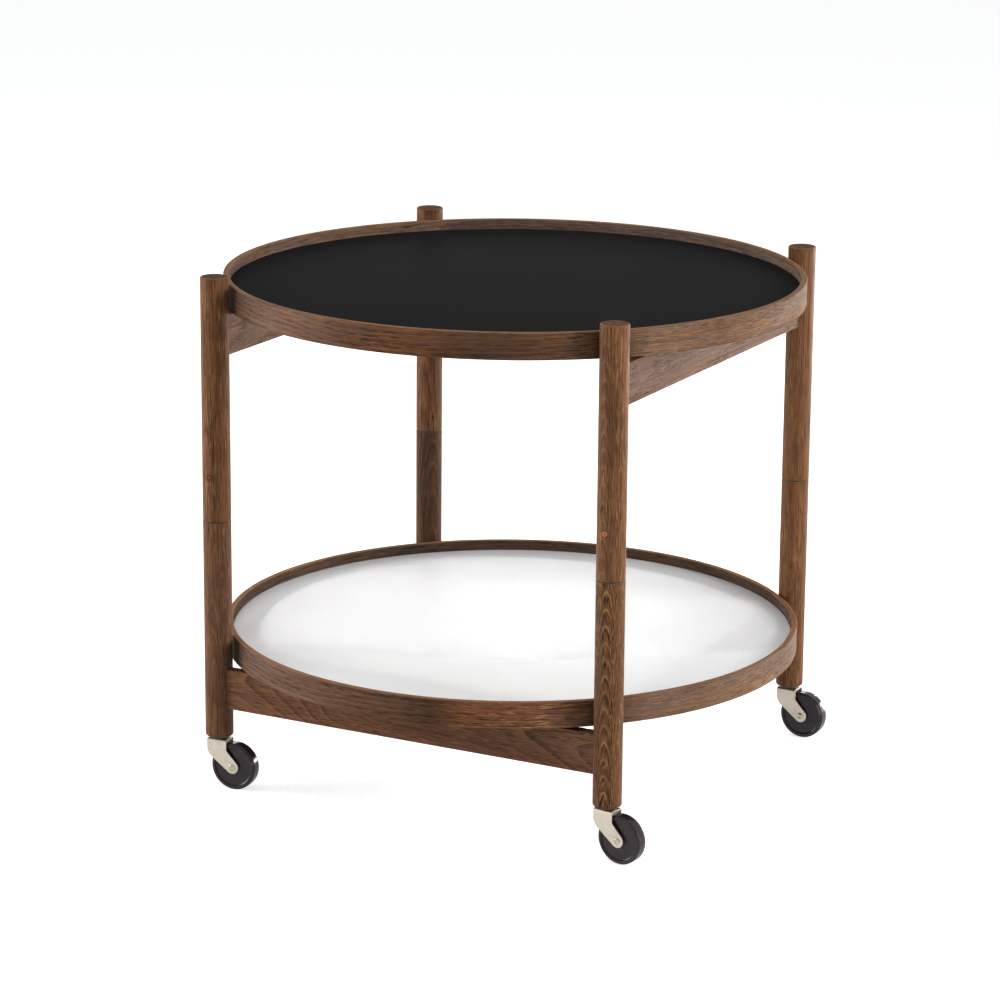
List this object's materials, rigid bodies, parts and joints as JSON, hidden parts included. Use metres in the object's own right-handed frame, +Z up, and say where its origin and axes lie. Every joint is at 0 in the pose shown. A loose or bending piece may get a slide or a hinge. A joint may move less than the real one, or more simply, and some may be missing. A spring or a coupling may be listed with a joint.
{
  "type": "tray table",
  "caption": "Folding tray table on swivel casters: two round lift-off trays with wooden rims, resting on rails between round legs that are pivoted at mid-height.",
  "frame": {"origin": "on the floor under the middle of the table", "axes": "+Z up; the lower rails run along X and the upper rails along Y; the leg nearest the camera in the picture stands at +X -Y"},
  "size_m": [0.6, 0.6, 0.54],
  "materials": {
    "leg_wood": "oiled dark oak, satin",
    "rail_wood": "oiled dark oak, satin",
    "rim_wood": "oiled dark oak, satin",
    "board": "raw fibre board",
    "black_laminate": "satin laminate",
    "white_laminate": "satin laminate",
    "nickel": "satin nickel plate",
    "steel": "bright zinc plate",
    "brass": "turned",
    "dark_nylon": "matt",
    "wheel_plastic": "hard moulded plastic, semi-gloss"
  },
  "bodies": {
    "lower_frame_front": {"lower_leg_left": "leg_wood", "lower_leg_front": "leg_wood", "lower_rail_front": "rail_wood", "pivot_pin_left": "steel", "pivot_pin_front": "steel", "pivot_washer_left": "dark_nylon", "pivot_washer_front": "dark_nylon", "caster_socket_left": "steel", "caster_socket_front": "steel"},
    "upper_frame_left": {"upper_leg_left": "leg_wood", "upper_leg_back": "leg_wood", "upper_rail_left": "rail_wood", "pivot_bush_left": "brass", "pivot_bush_back": "brass"},
    "upper_frame_right": {"upper_leg_front": "leg_wood", "upper_leg_right": "leg_wood", "upper_rail_right": "rail_wood", "pivot_bush_front": "brass", "pivot_bush_right": "brass"},
    "lower_frame_back": {"lower_leg_back": "leg_wood", "lower_leg_right": "leg_wood", "lower_rail_back": "rail_wood", "pivot_pin_back": "steel", "pivot_pin_right": "steel", "pivot_washer_back": "dark_nylon", "pivot_washer_right": "dark_nylon", "caster_socket_back": "steel", "caster_socket_right": "steel"},
    "upper_tray": {"upper_tray_rim": "rim_wood", "upper_tray_core": "board", "upper_tray_top_sheet": "black_laminate", "upper_tray_bottom_sheet": "white_laminate"},
    "lower_tray": {"lower_tray_rim": "rim_wood", "lower_tray_core": "board", "lower_tray_top_sheet": "white_laminate", "lower_tray_bottom_sheet": "black_laminate"},
    "caster_swivel_left": {"caster_stem_left": "steel", "caster_race_left": "dark_nylon", "caster_fork_left": "nickel", "caster_axle_left": "nickel"},
    "caster_wheel_left": {"caster_wheel_left": "wheel_plastic"},
    "caster_swivel_front": {"caster_stem_front": "steel", "caster_race_front": "dark_nylon", "caster_fork_front": "nickel", "caster_axle_front": "nickel"},
    "caster_wheel_front": {"caster_wheel_front": "wheel_plastic"},
    "caster_swivel_right": {"caster_stem_right": "steel", "caster_race_right": "dark_nylon", "caster_fork_right": "nickel", "caster_axle_right": "nickel"},
    "caster_wheel_right": {"caster_wheel_right": "wheel_plastic"},
    "caster_swivel_back": {"caster_stem_back": "steel", "caster_race_back": "dark_nylon", "caster_fork_back": "nickel", "caster_axle_back": "nickel"},
    "caster_wheel_back": {"caster_wheel_back": "wheel_plastic"}
  },
  "joints": [
    {"name": "left_leg_pivot", "type": "hinge", "parent": "lower_frame_front", "child": "upper_frame_left", "pos_m": [-0.22401, -0.22401, 0.287], "axis": [0, 0, 1], "range_deg": [-0.3, 0.3]},
    {"name": "front_leg_pivot", "type": "hinge", "parent": "lower_frame_front", "child": "upper_frame_right", "pos_m": [0.22401, -0.22401, 0.287], "axis": [0, 0, 1], "range_deg": [-0.3, 0.3]},
    {"name": "back_leg_pivot", "type": "hinge", "parent": "upper_frame_left", "child": "lower_frame_back", "pos_m": [-0.22401, 0.22401, 0.287], "axis": [0, 0, 1], "range_deg": [-0.3, 0.3]},
    {"name": "upper_tray_lift", "type": "slide", "parent": "lower_frame_front", "child": "upper_tray", "axis": [0, 0, 1], "range_m": [0, 0.1]},
    {"name": "lower_tray_lift", "type": "slide", "parent": "lower_frame_front", "child": "lower_tray", "axis": [0, 0, 1], "range_m": [0, 0.28]},
    {"name": "caster_swivel_left", "type": "hinge", "parent": "lower_frame_front", "child": "caster_swivel_left", "pos_m": [-0.22401, -0.22401, 0.07], "axis": [0, 0, 1], "continuous": true},
    {"name": "caster_roll_left", "type": "hinge", "parent": "caster_swivel_left", "child": "caster_wheel_left", "pos_m": [-0.20576, -0.22273, 0.025], "axis": [-0.0698, 0.9976, 0], "continuous": true},
    {"name": "caster_swivel_front", "type": "hinge", "parent": "lower_frame_front", "child": "caster_swivel_front", "pos_m": [0.22401, -0.22401, 0.07], "axis": [0, 0, 1], "continuous": true},
    {"name": "caster_roll_front", "type": "hinge", "parent": "caster_swivel_front", "child": "caster_wheel_front", "pos_m": [0.24209, -0.22687, 0.025], "axis": [0.1564, 0.9877, 0], "continuous": true},
    {"name": "caster_swivel_right", "type": "hinge", "parent": "lower_frame_back", "child": "caster_swivel_right", "pos_m": [0.22401, 0.22401, 0.07], "axis": [0, 0, 1], "continuous": true},
    {"name": "caster_roll_right", "type": "hinge", "parent": "caster_swivel_right", "child": "caster_wheel_right", "pos_m": [0.24229, 0.22305, 0.025], "axis": [0.0523, 0.9986, 0], "continuous": true},
    {"name": "caster_swivel_back", "type": "hinge", "parent": "lower_frame_back", "child": "caster_swivel_back", "pos_m": [-0.22401, 0.22401, 0.07], "axis": [0, 0, 1], "continuous": true},
    {"name": "caster_roll_back", "type": "hinge", "parent": "caster_swivel_back", "child": "caster_wheel_back", "pos_m": [-0.20574, 0.22305, 0.025], "axis": [0.0523, 0.9986, 0], "continuous": true}
  ],
  "couplings": [
    {"joint": "front_leg_pivot", "follows": "left_leg_pivot", "ratio": 1},
    {"joint": "back_leg_pivot", "follows": "left_leg_pivot", "ratio": -1}
  ]
}
